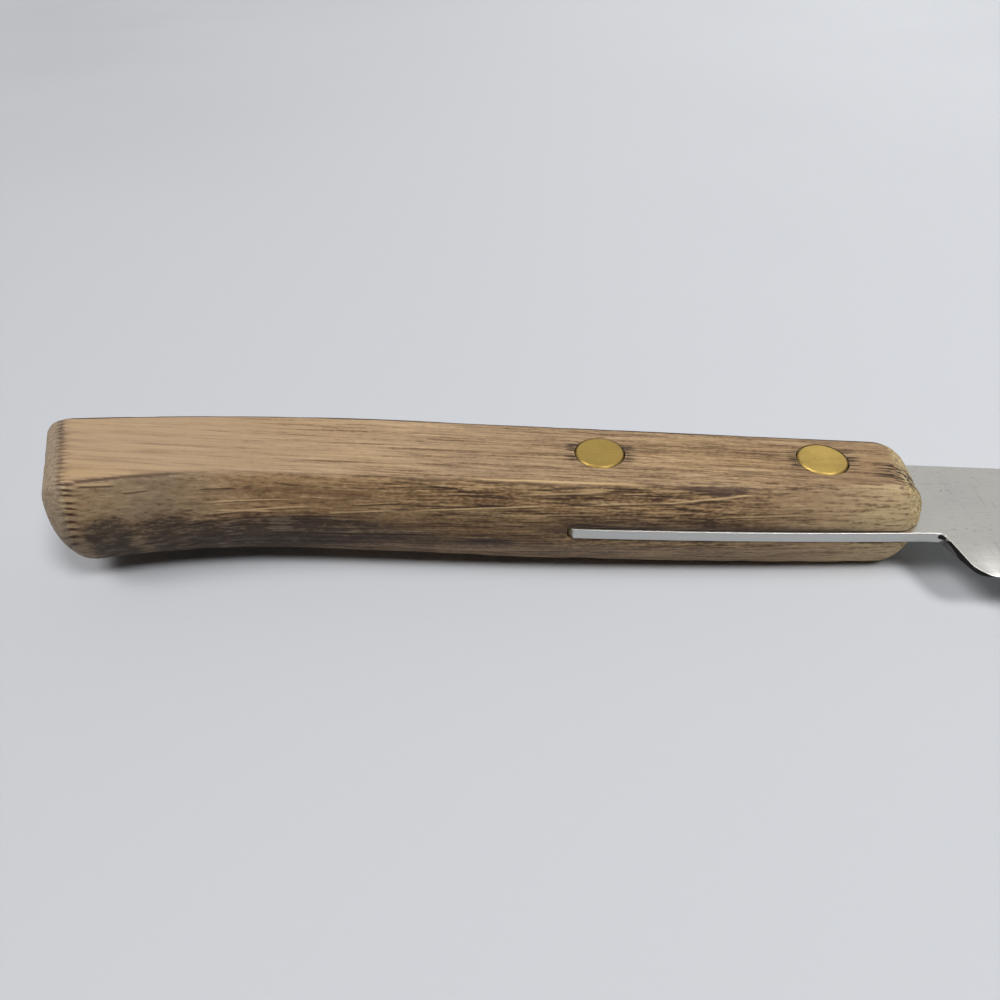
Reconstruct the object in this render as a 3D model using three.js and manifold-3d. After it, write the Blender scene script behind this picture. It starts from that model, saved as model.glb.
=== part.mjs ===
// A carving knife with a half tang: a ground steel blade whose tang sits in a sawn slot of a one-piece
// wooden handle, held by two cutler's rivets of two halves each. The knife lies on its side.
// Millimetres. While it is modelled, x runs along the spine from the handle's front end (0) to the tip,
// y is the height above the spine line (so the edge is below 0), and z is the distance from the middle
// plane of the steel.
import * as THREE from "three";
import { mergeVertices } from "three/addons/utils/BufferGeometryUtils.js";
import Module from "manifold-3d";

const { degToRad, lerp, smoothstep } = THREE.MathUtils;

// Blade
const BLADE_LENGTH = 231; // handle front to tip
const BLADE_DEPTH = 23.5; // spine to edge at the heel
const STOCK = 1.6; // sheet that blade and tang are stamped from
const TIP_STOCK = 0.8; // thickness of the spine at the tip
const TIP_FALL = 4; // how far the tip lies below the spine line
const TIP_WIDTH = 0.5; // blunted end of the point
const SPINE_FALL_LENGTH = 90; // stretch in which the spine falls to the tip
const SWEEP_LENGTH = 150; // stretch in which the edge sweeps up to the tip
const SWEEP_POWER = 2.3; // above 2 the sweep starts slowly and ends steeply
const SPINE_EASE = 0.2; // chamfer along the spine
const BEVEL_HEIGHT = 0.9; // sharpened strip above the edge
const BEVEL_THICKNESS = 0.7; // steel left at the top of that strip
const EDGE_LAND = 0.08; // width of the edge itself
const EDGE_START = 5; // where the sharpened strip begins, in the round of the heel
const EDGE_RUN = 2; // length in which it comes to its full keenness
const HEEL_START = 2.5; // where the heel drops from the neck
const HEEL_SLANT = degToRad(19);
const HEEL_RADIUS = 3; // corner between the back of the heel and the edge
const NOTCH_RADIUS = 0.7; // inside corner between neck and heel
const GRIND_START = -0.5; // where the ground face would begin at the edge, if the heel did not cut it off
const GRIND_LEAN = 11; // how much further along it begins at the spine
const GRIND_RUN = 4; // length in which it eases out of the flat steel

// Handle
const HANDLE_LENGTH = 128; // along its middle
const HANDLE_THICKNESS = 14.8;
const FRONT_DEPTH = 16.1; // spine line to belly at the front end
const WAIST_DEPTH = 18.65; // and at the slim part of the grip
const BUTT_DEPTH = 26.5; // and at the butt
const FRONT_TAPER = 68; // stretch from the front end to the waist
const BUTT_FLARE = 41; // stretch in which the belly drops to the butt
const BACK_RISE = 1.3; // top of the back above the spine line
const BACK_FALL = 2.5; // drop of the back from there to the butt
const BACK_FALL_LENGTH = 53.6;
const BELLY_CROWN = 2.55; // how far the belly bulges past the edges of the flanks
const BACK_CROWN = 3.65; // and the back
const SOFT_EDGE = 1.8; // rounding between those crowns and the flat flanks
const FRONT_SLANT = degToRad(0.5); // the back reaches further forward than the belly
const BUTT_SLANT = degToRad(24.4); // and further rearward
const FRONT_CORNERS = { belly: 4, back: 6.2, flank: 5.8 };
const BUTT_CORNERS = { belly: 5.1, back: 2.15, flank: 5.2 };

// Tang, slot and rivets
const TANG_TAIL = 4.2; // steel behind the rear rivet's centre
const TANG_CORNER = 0.8;
const SLOT_GAP = 0.15; // on each side of the tang and behind it
const FRONT_RIVET = 14.2; // rivet centre behind the handle's front end
const RIVET_PITCH = 31.8;
const RIVET_HEAD = 7.14; // diameter
const RIVET_HEAD_HEIGHT = 3.2;
const RIVET_EASE = 0.25; // chamfer round the face of a head
const TUBE_DIAMETER = 4.8; // hollow shank
const PIN_DIAMETER = 3; // solid shank pressed into the hollow one
const SHANK_END_GAP = 0.8; // between the end of a shank and what it stops at
const BORE_GAP = 0.12; // round each head and shank
const SEAT_GAP = 0.1; // under each head

// Fineness
const ROUND_STEPS = 32;
const CROWN_STEPS = 9;
const SOFT_STEPS = 3;
const CORNER_STEPS = 10;
const NOTCH_STEPS = 4;
const FACE_STEPS = 8; // down a face of the blade
const GRIP_STATIONS = 32;
const TANG_STATIONS = 12;
const GRIND_STATIONS = 10; // where the ground face begins
const BLADE_STATIONS = 26;
const TIP_STATIONS = 8; // closer together
const TIP_RUN = 22; // in this last stretch

const HALF = HANDLE_THICKNESS / 2;
const TANG_LENGTH = FRONT_RIVET + RIVET_PITCH + TANG_TAIL;
const HEAD_RADIUS = RIVET_HEAD / 2;
const TUBE_RADIUS = TUBE_DIAMETER / 2;
const PIN_RADIUS = PIN_DIAMETER / 2;
const SEAT = HALF - RIVET_HEAD_HEIGHT; // underside of a head

const wasm = await Module();
wasm.setup();

// A closed geometry as a solid for cutting, and back again.
function solidOf(geometry) {
  const bare = geometry.clone();
  bare.deleteAttribute("normal");
  bare.deleteAttribute("uv");
  const merged = mergeVertices(bare);
  const vertProperties = new Float32Array(merged.attributes.position.array);
  const triVerts = new Uint32Array(merged.index.array);
  return new wasm.Manifold(new wasm.Mesh({ numProp: 3, vertProperties, triVerts }));
}

function geometryOf(solid) {
  const mesh = solid.getMesh();
  const geometry = new THREE.BufferGeometry();
  geometry.setAttribute("position", new THREE.BufferAttribute(mesh.vertProperties, 3));
  geometry.setIndex(new THREE.BufferAttribute(mesh.triVerts, 1));
  return geometry;
}

// Evenly spaced values from one number to another, both included.
function span(from, to, steps) {
  return Array.from({ length: steps + 1 }, (_, i) => lerp(from, to, i / steps));
}

// A closed skin over rings of equally many points, with a flat cap on the first and the last ring.
function loft(rings) {
  const size = rings[0].length;
  const points = rings.flat();
  const faces = [];
  for (let ring = 0; ring < rings.length - 1; ring++) {
    for (let i = 0; i < size; i++) {
      const a = ring * size + i;
      const b = ring * size + ((i + 1) % size);
      faces.push(a, b, b + size, a, b + size, a + size);
    }
  }
  for (const ring of [0, rings.length - 1]) {
    const centre = new THREE.Vector3();
    for (const point of rings[ring]) centre.addScaledVector(point, 1 / size);
    const hub = points.push(centre) - 1;
    for (let i = 0; i < size; i++) {
      const a = ring * size + i;
      const b = ring * size + ((i + 1) % size);
      faces.push(hub, ...(ring === 0 ? [b, a] : [a, b]));
    }
  }
  const geometry = new THREE.BufferGeometry().setFromPoints(points);
  geometry.setIndex(faces);
  return geometry;
}

// A turned form about an axis across the knife, from its profile of [radius, z] points.
function turned(profile) {
  const points = profile.map(([radius, z]) => new THREE.Vector2(radius, z));
  return new THREE.LatheGeometry(points, ROUND_STEPS).rotateX(Math.PI / 2);
}

// Side outline of the handle: a back that rises gently and then falls to the butt, and a belly that
// eases from the front end to the waist and flares at the butt.
function backAt(x) {
  const crest = HANDLE_LENGTH - BACK_FALL_LENGTH;
  const slope = BACK_RISE / crest;
  const past = Math.max(0, -x - crest);
  const fall = BACK_FALL + slope * BACK_FALL_LENGTH;
  return slope * Math.max(0, -x) - fall * (past / BACK_FALL_LENGTH) ** 2;
}

function bellyAt(x) {
  const ahead = Math.max(0, 1 + Math.min(x, 0) / FRONT_TAPER);
  const past = Math.max(0, -x - (HANDLE_LENGTH - BUTT_FLARE)) / BUTT_FLARE;
  const ease = (WAIST_DEPTH - FRONT_DEPTH) * ahead ** 2;
  const flare = (BUTT_DEPTH - WAIST_DEPTH) * past ** 2;
  return ease - flare - WAIST_DEPTH;
}

// Rivet places, on the middle line of the handle.
const rivets = ["front", "rear"].map((name, i) => {
  const x = -FRONT_RIVET - i * RIVET_PITCH;
  return { name, x, y: (backAt(x) + bellyAt(x)) / 2 };
});

// Cross-section of the handle between two heights: flat flanks, an arc over back and belly each, and
// softened edges between. The section shrinks in proportion where the flanks are drawn in.
function gripSection(belly, back, half) {
  const shrink = half / HALF;
  const soft = SOFT_EDGE * shrink;
  const lift = half - soft;
  const points = [];
  const sweep = (y, z, radius, from, to, steps) => {
    for (const angle of span(from, to, steps)) {
      points.push([y + radius * Math.cos(angle), z + radius * Math.sin(angle)]);
    }
  };
  const crown = (rim, bulge, facing) => {
    const arc = (half ** 2 + (bulge * shrink) ** 2) / (2 * bulge * shrink);
    const turn = Math.asin(lift / (arc - soft));
    const outward = Math.cos(facing);
    const softY = rim - outward * (arc - Math.sqrt((arc - soft) ** 2 - lift ** 2));
    sweep(softY, -outward * lift, soft, facing - Math.PI / 2, facing - turn, SOFT_STEPS);
    points.pop();
    sweep(rim - outward * arc, 0, arc, facing - turn, facing + turn, CROWN_STEPS);
    points.pop();
    sweep(softY, outward * lift, soft, facing + turn, facing + Math.PI / 2, SOFT_STEPS);
  };
  crown(back, BACK_CROWN, 0);
  crown(belly, BELLY_CROWN, Math.PI);
  return points;
}

// How far a round corner has drawn the surface in, at a distance from the end.
function drawnIn(radius, distance) {
  const left = Math.max(0, radius - distance);
  return radius - Math.sqrt(radius ** 2 - left ** 2);
}

// The handle before it is slotted and bored. Its stations lean with the slanted ends.
function handleBlank() {
  const butt = Math.max(...Object.values(BUTT_CORNERS));
  const front = Math.max(...Object.values(FRONT_CORNERS));
  const corner = span(0, Math.PI / 2, CORNER_STEPS).map((angle) => 1 - Math.cos(angle));
  const stations = [
    ...corner.map((share) => butt * share - HANDLE_LENGTH),
    ...span(butt - HANDLE_LENGTH, -front, GRIP_STATIONS).slice(1, -1),
    ...corner.map((share) => -front * share).reverse(),
  ];
  const rings = stations.map((station) => {
    const lean = lerp(Math.tan(FRONT_SLANT), -Math.tan(BUTT_SLANT), -station / HANDLE_LENGTH);
    const middle = (backAt(station) + bellyAt(station)) / 2;
    const along = (y) => station + lean * (y - middle);
    const inset = (side) =>
      drawnIn(BUTT_CORNERS[side], station + HANDLE_LENGTH) + drawnIn(FRONT_CORNERS[side], -station);
    const back = backAt(along(backAt(station))) - inset("back");
    const belly = bellyAt(along(bellyAt(station))) + inset("belly");
    const section = gripSection(belly, back, HALF - inset("flank"));
    return section.map(([y, z]) => new THREE.Vector3(along(y), y, z));
  });
  return loft(rings);
}

// Slot sawn from the front end right through the wood, from belly to back, as deep as the tang.
function slot() {
  const length = TANG_LENGTH + SLOT_GAP + HANDLE_LENGTH;
  const saw = new THREE.BoxGeometry(length, 2 * (BUTT_DEPTH + BACK_RISE), STOCK + 2 * SLOT_GAP);
  return saw.translate(length / 2 - TANG_LENGTH - SLOT_GAP, 0, 0);
}

// The hole for one rivet, drilled through wood and tang, with a seat for each head.
function rivetBore() {
  const seat = SEAT - SEAT_GAP;
  const wide = HEAD_RADIUS + BORE_GAP;
  const slim = TUBE_RADIUS + BORE_GAP;
  const out = HANDLE_THICKNESS;
  const far = [[slim, seat], [wide, seat], [wide, out], [0, out]];
  const near = far.map(([radius, z]) => [radius, -z]).reverse();
  return turned([...near, ...far]);
}

function drilled(solid) {
  return rivets.reduce((rest, { x, y }) => rest.subtract(solidOf(rivetBore().translate(x, y, 0))), solid);
}

function handle() {
  return geometryOf(drilled(solidOf(handleBlank()).subtract(solidOf(slot()))));
}

// The rivet half with the hollow shank, its head on the +z flank.
function rivetTube() {
  const mouth = SHANK_END_GAP - SEAT;
  const bore = PIN_RADIUS + BORE_GAP;
  return turned([
    [0, SEAT],
    [bore, SEAT],
    [bore, mouth],
    [TUBE_RADIUS, mouth],
    [TUBE_RADIUS, SEAT],
    [HEAD_RADIUS, SEAT],
    [HEAD_RADIUS, HALF - RIVET_EASE],
    [HEAD_RADIUS - RIVET_EASE, HALF],
    [0, HALF],
  ]);
}

// The rivet half with the solid shank, its head on the -z flank.
function rivetPin() {
  const end = SEAT - SHANK_END_GAP;
  return turned([
    [0, -HALF],
    [HEAD_RADIUS - RIVET_EASE, -HALF],
    [HEAD_RADIUS, RIVET_EASE - HALF],
    [HEAD_RADIUS, -SEAT],
    [PIN_RADIUS, -SEAT],
    [PIN_RADIUS, end],
    [0, end],
  ]);
}

// Side outline of the steel: the spine, which is flush with the handle's back, and the cutting edge.
function spineAt(x) {
  const past = Math.max(0, x - (BLADE_LENGTH - SPINE_FALL_LENGTH)) / SPINE_FALL_LENGTH;
  return backAt(x) - TIP_FALL * past ** 2;
}

function edgeAt(x) {
  const past = Math.max(0, x - (BLADE_LENGTH - SWEEP_LENGTH)) / SWEEP_LENGTH;
  return (BLADE_DEPTH - TIP_FALL - TIP_WIDTH) * past ** SWEEP_POWER - BLADE_DEPTH;
}

// The heel as [x, y] points: inside corner at the neck, slanted drop, round corner into the edge.
function heelOutline() {
  const inner = span(0, Math.PI / 2 - HEEL_SLANT, NOTCH_STEPS).map((angle) => [
    HEEL_START - NOTCH_RADIUS * (1 - Math.sin(angle)),
    bellyAt(0) - NOTCH_RADIUS * (1 - Math.cos(angle)),
  ]);
  const [dropX, dropY] = inner.at(-1);
  const radius = Math.min(HEEL_RADIUS, (dropY + BLADE_DEPTH) / (1 - Math.sin(HEEL_SLANT)));
  const centreY = radius - BLADE_DEPTH;
  const drop = dropY - centreY + radius * Math.sin(HEEL_SLANT);
  const centreX = dropX + drop * Math.tan(HEEL_SLANT) + radius * Math.cos(HEEL_SLANT);
  const outer = span(Math.PI + HEEL_SLANT, 1.5 * Math.PI, CORNER_STEPS).map((angle) => [
    centreX + radius * Math.cos(angle),
    centreY + radius * Math.sin(angle),
  ]);
  return [...inner, ...outer];
}

// Half the steel's thickness: flat near the handle, ground to a wedge beyond, thinner towards the tip.
function halfSteel(x, y) {
  const flat = GRIND_START + GRIND_LEAN;
  const spine = lerp(STOCK, TIP_STOCK, Math.max(0, x - flat) / (BLADE_LENGTH - flat)) / 2;
  const depth = spineAt(x) - y;
  const share = depth / Math.max(TIP_WIDTH, spineAt(x) - edgeAt(x) - BEVEL_HEIGHT);
  const start = GRIND_START + GRIND_LEAN * (1 - depth / BLADE_DEPTH);
  const ground = smoothstep(x, start, start + GRIND_RUN);
  return lerp(spine, BEVEL_THICKNESS / 2, ground * Math.min(1, share));
}

// One section of the steel between two heights, as a ring of points.
function steelSection(x, low, top) {
  const keen = smoothstep(x, EDGE_START, EDGE_START + EDGE_RUN);
  const shoulder = Math.min(low + BEVEL_HEIGHT, (low + top) / 2);
  const side = span(top - SPINE_EASE, shoulder, FACE_STEPS).map((y) => [y, halfSteel(x, y)]);
  const edge = lerp(halfSteel(x, low), EDGE_LAND / 2, keen);
  const face = [[top, side[0][1] - SPINE_EASE], ...side, [low, Math.min(edge, side.at(-1)[1])]];
  const far = face.map(([y, z]) => new THREE.Vector3(x, y, z));
  const near = face.map(([y, z]) => new THREE.Vector3(x, y, -z)).reverse();
  return [...near, ...far];
}

// Tang, neck and blade in one piece, drilled for the rivets.
function blade() {
  const end = -TANG_LENGTH;
  const heel = heelOutline();
  const heelEnd = heel.at(-1)[0];
  const slim = BLADE_LENGTH - TIP_RUN;
  const ground = GRIND_START + GRIND_LEAN + GRIND_RUN;
  const beyond = [
    ...span(heelEnd, ground, GRIND_STATIONS).slice(1),
    ...span(ground, slim, BLADE_STATIONS).slice(1),
    ...span(slim, BLADE_LENGTH, TIP_STATIONS).slice(1),
  ];
  const outline = [
    ...span(end + TANG_CORNER, 0, TANG_STATIONS).map((x) => [x, bellyAt(x)]),
    ...heel,
    ...beyond.map((x) => [x, edgeAt(x)]),
  ];
  const rings = outline.map(([x, low]) => steelSection(x, low, spineAt(x)));
  rings.unshift(steelSection(end, bellyAt(end) + TANG_CORNER, spineAt(end) - TANG_CORNER));
  return geometryOf(drilled(solidOf(loft(rings))));
}

const STEEL = { color: 0xaaa9a4, roughness: 0.35, metalness: 1 };
const WOOD = { color: 0xa5825a, roughness: 0.65, metalness: 0 };
const BRASS = { color: 0xb09048, roughness: 0.4, metalness: 1 };

function piece(name, geometry, finish) {
  const mesh = new THREE.Mesh(geometry, new THREE.MeshStandardMaterial(finish));
  mesh.name = name;
  return mesh;
}

const knife = new THREE.Group();
knife.add(piece("blade", blade(), STEEL));
knife.add(piece("handle", handle(), WOOD));
for (const { name, x, y } of rivets) {
  const rivet = new THREE.Group();
  rivet.position.set(x, y, 0);
  rivet.add(piece(`${name}_rivet_tube`, rivetTube(), BRASS));
  rivet.add(piece(`${name}_rivet_pin`, rivetPin(), BRASS));
  knife.add(rivet);
}

// The part's own origin: the middle of the knife's box, on the surface that it lies on.
const box = new THREE.Box3().setFromObject(knife);
const centre = box.getCenter(new THREE.Vector3());
knife.position.set(-centre.x, -centre.y, -box.min.z);

const part = new THREE.Group();
part.add(knife);

export default part;
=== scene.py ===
"""A worn carving knife with a half tang, lying on its side on a pale table.

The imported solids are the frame: blade and rivets are shown as they are, with better finishes, and the
handle gets a fine mesh of its own with worn grain. Shapes are worked out in millimetres, in the knife's
own axes: x runs from the handle's front end (0) to the tip, y is the height above the spine line, and
z is the distance from the middle plane of the steel.
"""

import math

import bmesh
import bpy
import numpy as np
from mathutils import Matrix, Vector


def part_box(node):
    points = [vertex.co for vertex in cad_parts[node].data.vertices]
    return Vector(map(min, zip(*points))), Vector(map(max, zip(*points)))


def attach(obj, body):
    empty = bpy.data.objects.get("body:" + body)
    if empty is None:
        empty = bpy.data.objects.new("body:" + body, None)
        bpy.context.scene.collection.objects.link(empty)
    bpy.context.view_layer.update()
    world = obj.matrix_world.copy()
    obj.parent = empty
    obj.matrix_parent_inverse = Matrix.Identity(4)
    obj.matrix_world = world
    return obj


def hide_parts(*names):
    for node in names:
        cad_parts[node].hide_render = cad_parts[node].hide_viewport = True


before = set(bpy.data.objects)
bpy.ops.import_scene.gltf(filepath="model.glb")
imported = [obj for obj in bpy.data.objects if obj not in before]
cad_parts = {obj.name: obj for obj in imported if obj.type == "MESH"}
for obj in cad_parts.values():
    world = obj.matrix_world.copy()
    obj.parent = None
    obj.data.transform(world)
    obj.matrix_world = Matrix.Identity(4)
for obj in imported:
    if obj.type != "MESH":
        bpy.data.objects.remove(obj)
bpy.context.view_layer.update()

MM = 0.001

# Handle, the same sizes as the wooden solid that the fine mesh stands for
HANDLE_LENGTH = 128
HANDLE_THICKNESS = 14.8
FRONT_DEPTH = 16.1
WAIST_DEPTH = 18.65
BUTT_DEPTH = 26.5
FRONT_TAPER = 68
BUTT_FLARE = 41
BACK_RISE = 1.3
BACK_FALL = 2.5
BACK_FALL_LENGTH = 53.6
BELLY_CROWN = 2.55
BACK_CROWN = 3.65
SOFT_EDGE = 1.8
FRONT_SLANT = math.radians(0.5)
BUTT_SLANT = math.radians(24.4)
FRONT_CORNERS = {"belly": 4, "back": 6.2, "flank": 5.8}
BUTT_CORNERS = {"belly": 5.1, "back": 2.15, "flank": 5.2}
HALF = HANDLE_THICKNESS / 2

# Tang, slot and rivets
STOCK = 1.6
SLOT_LENGTH = 50.35
SLOT_GAP = 0.15
FRONT_RIVET = 14.2
RIVET_HEAD = 7.14
RIVET_HEAD_HEIGHT = 3.2
TUBE_DIAMETER = 4.8
BORE_GAP = 0.12
SEAT_GAP = 0.1
SLOT_HALF = STOCK / 2 + SLOT_GAP
BORE = RIVET_HEAD / 2 + BORE_GAP

# Fineness of the handle's mesh
SOFT_STEPS = 8
CROWN_STEPS = 44
FLANK_STEPS = 60
CORNER_STEPS = 18
STATION_STEP = 0.5
CAP_STEPS = 16
BORE_STEPS = 96

# How deep the handle's surface is worn at most
BROAD_WEAR = 0.08
FURROW_DEPTH = 0.03
DENT_DEPTH = 0.1
END_PIT_DEPTH = 0.07
UPPER_LIP_WEAR = 0.28
LOWER_LIP_WEAR = 0.1
BORE_LIP_WEAR = 0.05
LIP_REACH = 0.3

# Shading of edges: widths of their easing, and the angles up to which faces join smoothly
BLADE_EASE = 0.06
RIVET_EASE = 0.08
EDGE_ROUND = 0.22  # radius of the steel's edges as the light shows them
WELD = 0.001  # points closer than this are joined
SMOOTH_ANGLE = math.radians(32)
WOOD_SMOOTH_ANGLE = math.radians(38)

# Camera, as found from the photograph
FOCAL = 29.02
SENSOR = 36
ELEVATION = math.radians(39.8)
YAW = math.radians(-3.6)
DISTANCE = 119.9
SIGHT_TO_RIVET = (46.2, 0.32)  # from the middle of the view to the front rivet, right and away


def back_at(x):
    """Height of the handle's back."""
    crest = HANDLE_LENGTH - BACK_FALL_LENGTH
    slope = BACK_RISE / crest
    past = max(0, -x - crest)
    fall = BACK_FALL + slope * BACK_FALL_LENGTH
    return slope * max(0, -x) - fall * (past / BACK_FALL_LENGTH) ** 2


def belly_at(x):
    """Height of the handle's belly."""
    ahead = max(0, 1 + min(x, 0) / FRONT_TAPER)
    past = max(0, -x - (HANDLE_LENGTH - BUTT_FLARE)) / BUTT_FLARE
    ease = (WAIST_DEPTH - FRONT_DEPTH) * ahead**2
    flare = (BUTT_DEPTH - WAIST_DEPTH) * past**2
    return ease - flare - WAIST_DEPTH


def middle_at(x):
    return (back_at(x) + belly_at(x)) / 2


def node_middle(name):
    low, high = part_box(name)
    return (low + high) / (2 * MM)


# Where the knife's own axes lie in the frame, and the rivets in those axes
front_rivet = node_middle("front_rivet_tube")
ORIGIN = Vector((
    front_rivet.x + FRONT_RIVET,
    front_rivet.y - middle_at(-FRONT_RIVET),
    node_middle("blade").z,
))
RIVETS = [(node_middle(f"{name}_rivet_tube") - ORIGIN).to_2d() for name in ("front", "rear")]


# Noise on arrays of points

def lattice(cell, seed):
    """A fixed random number from 0 to 1 for each whole-numbered cell."""
    factors = np.array([374761393, 668265263, 2246822519], np.uint32)
    mixed = (cell.astype(np.int64).astype(np.uint32) * factors).sum(axis=1, dtype=np.uint32)
    mixed = mixed + np.uint32(seed * 362437 + 1)
    mixed = (mixed ^ (mixed >> np.uint32(13))) * np.uint32(1274126177)
    mixed = mixed ^ (mixed >> np.uint32(16))
    return mixed / np.float64(2**32)


def noise(points, scale, seed):
    """Smooth noise from 0 to 1, with a scale in cells per millimetre along each axis."""
    at = points * np.array(scale)
    cell = np.floor(at)
    share = at - cell
    share = share * share * (3 - 2 * share)
    total = np.zeros(len(points))
    for corner in np.ndindex(2, 2, 2):
        weight = np.prod(np.where(corner, share, 1 - share), axis=1)
        total += weight * lattice(cell + corner, seed)
    return total


def ease(low, high, value):
    """Goes smoothly from 0 at low to 1 at high, also where low is the larger."""
    share = np.clip((value - low) / (high - low), 0, 1)
    return share * share * (3 - 2 * share)


def hump(middle, width, value):
    return np.exp(-(((value - middle) / width) ** 2))


# Meshes

def mesh_object(name, points, faces):
    """A mesh from points in the knife's own axes."""
    placed = (np.array(points, float) + np.array(ORIGIN)) * MM
    mesh = bpy.data.meshes.new(name)
    mesh.from_pydata(placed.tolist(), [], faces)
    edit = bmesh.new()
    edit.from_mesh(mesh)
    bmesh.ops.recalc_face_normals(edit, faces=edit.faces)
    edit.to_mesh(mesh)
    edit.free()
    made = bpy.data.objects.new(name, mesh)
    bpy.context.scene.collection.objects.link(made)
    return made


def own_points(mesh):
    """Points and normals of a mesh, as arrays, in the knife's own axes."""
    points = np.empty(len(mesh.vertices) * 3)
    normals = np.empty(len(mesh.vertices) * 3)
    mesh.vertices.foreach_get("co", points)
    mesh.vertices.foreach_get("normal", normals)
    return points.reshape(-1, 3) / MM - np.array(ORIGIN), normals.reshape(-1, 3)


def ring_faces(first, second, size):
    return [
        (first + i, first + (i + 1) % size, second + (i + 1) % size, second + i)
        for i in range(size)
    ]


def sweep(y, z, radius, start, end, steps):
    angles = np.linspace(start, end, steps + 1)
    return np.stack([y + radius * np.cos(angles), z + radius * np.sin(angles)], axis=1)


def grip_section(belly, back, half):
    """One section of the handle: crowned back and belly, soft edges, flat flanks."""
    shrink = half / HALF
    soft = SOFT_EDGE * shrink
    lift = half - soft

    def crown(rim, bulge, facing):
        rise = bulge * shrink
        arc = (half**2 + rise**2) / (2 * rise)
        turn = math.asin(lift / (arc - soft))
        outward = math.cos(facing)
        soft_y = rim - outward * (arc - math.sqrt((arc - soft) ** 2 - lift**2))
        side = outward * lift
        return np.concatenate([
            sweep(soft_y, -side, soft, facing - math.pi / 2, facing - turn, SOFT_STEPS)[:-1],
            sweep(rim - outward * arc, 0, arc, facing - turn, facing + turn, CROWN_STEPS)[:-1],
            sweep(soft_y, side, soft, facing + turn, facing + math.pi / 2, SOFT_STEPS),
        ])

    top = crown(back, BACK_CROWN, 0)
    bottom = crown(belly, BELLY_CROWN, math.pi)
    far_flank = np.linspace(top[-1], bottom[0], FLANK_STEPS + 1)[1:-1]
    near_flank = np.linspace(bottom[-1], top[0], FLANK_STEPS + 1)[1:-1]
    return np.concatenate([top, far_flank, bottom, near_flank])


def drawn_in(radius, distance):
    left = max(0, radius - distance)
    return radius - math.sqrt(radius**2 - left**2)


def grip_ring(station):
    """The points of the handle's section at a station, which leans with the slanted ends."""
    share = -station / HANDLE_LENGTH
    lean = (1 - share) * math.tan(FRONT_SLANT) - share * math.tan(BUTT_SLANT)
    middle = middle_at(station)

    def inset(side):
        return drawn_in(BUTT_CORNERS[side], station + HANDLE_LENGTH) + drawn_in(FRONT_CORNERS[side], -station)

    back_x = station + lean * (back_at(station) - middle)
    belly_x = station + lean * (belly_at(station) - middle)
    back = back_at(back_x) - inset("back")
    belly = belly_at(belly_x) + inset("belly")
    section = grip_section(belly, back, HALF - inset("flank"))
    along = station + lean * (section[:, 0] - middle)
    return np.column_stack([along, section])


def handle_blank():
    """The whole handle before slot and bores, as a fine closed mesh."""
    butt = max(BUTT_CORNERS.values())
    front = max(FRONT_CORNERS.values())
    corner = 1 - np.cos(np.linspace(0, math.pi / 2, CORNER_STEPS + 1))
    steps = round((HANDLE_LENGTH - butt - front) / STATION_STEP)
    stations = np.concatenate([
        butt * corner - HANDLE_LENGTH,
        np.linspace(butt - HANDLE_LENGTH, -front, steps + 1)[1:-1],
        -front * corner[::-1],
    ])
    rings = [grip_ring(station) for station in stations]
    shrinks = np.linspace(1, 0, CAP_STEPS + 1)[1:-1]

    def cap(ring):
        middle = ring.mean(axis=0)
        return [middle + (ring - middle) * shrink for shrink in shrinks]

    rings = cap(rings[0])[::-1] + rings + cap(rings[-1])
    size = len(rings[0])
    points = np.concatenate(rings)
    faces = []
    for i in range(len(rings) - 1):
        faces += ring_faces(i * size, (i + 1) * size, size)
    last = (len(rings) - 1) * size
    for start in (0, last):
        faces += [
            (start + i, start + i + 1, start + size - 2 - i, start + size - 1 - i)
            for i in range(size // 2 - 1)
        ]
    return mesh_object("worn_handle", points, faces)


def lip_distance(points):
    """How far each point lies from the mouth of the slot, and from the rim of the nearest bore."""
    x, y, z = points.T
    slot = np.hypot(np.maximum(0, np.abs(z) - SLOT_HALF), np.maximum(0, -x - SLOT_LENGTH))
    bores = [np.abs(np.hypot(x - rivet.x, y - rivet.y) - BORE) for rivet in RIVETS]
    return slot, np.minimum(*bores)


def station_of(points):
    """Distance of each point from the front end, leaning with the butt's slant as the sections do."""
    middle = np.array([middle_at(x) for x in points[:, 0]])
    share = np.clip(-points[:, 0] / HANDLE_LENGTH, 0, 1)
    return -points[:, 0] - share * math.tan(BUTT_SLANT) * (points[:, 1] - middle)


def wear_surface(blank):
    """Sinks the surface a little where wood wears: along the grain, at edges, lips and dents."""
    points, normals = own_points(blank.data)
    flat = np.abs(normals[:, 2])
    edge = ease(0.97, 0.8, flat) * ease(0.25, 0.5, flat)
    broad = BROAD_WEAR * noise(points, (0.05, 0.16, 0.16), 1)
    furrows = FURROW_DEPTH * noise(points, (0.05, 1.6, 1.6), 2) ** 2
    dents = DENT_DEPTH * edge * ease(0.5, 0.85, noise(points, (0.25, 0.6, 0.6), 3))
    ends = ease(0.35, 0.8, np.abs(normals[:, 0]))
    pits = END_PIT_DEPTH * ends * ease(0.5, 0.8, noise(points, (0.5, 1.3, 1.9), 4))
    slot, bore = lip_distance(points)
    beside_slot = ease(0.35, 0.75, np.abs(normals[:, 1])) * ease(SLOT_LENGTH, SLOT_LENGTH - 1, -points[:, 0])
    slot_wear = np.where(points[:, 2] > 0, UPPER_LIP_WEAR, LOWER_LIP_WEAR) * beside_slot
    lips = slot_wear * np.exp(-slot / LIP_REACH) + BORE_LIP_WEAR * flat * np.exp(-bore / LIP_REACH)
    sunk = points - normals * (broad + furrows + dents + pits + lips)[:, None]
    placed = (sunk + np.array(ORIGIN)) * MM
    blank.data.vertices.foreach_set("co", placed.ravel())
    blank.data.update()


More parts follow.
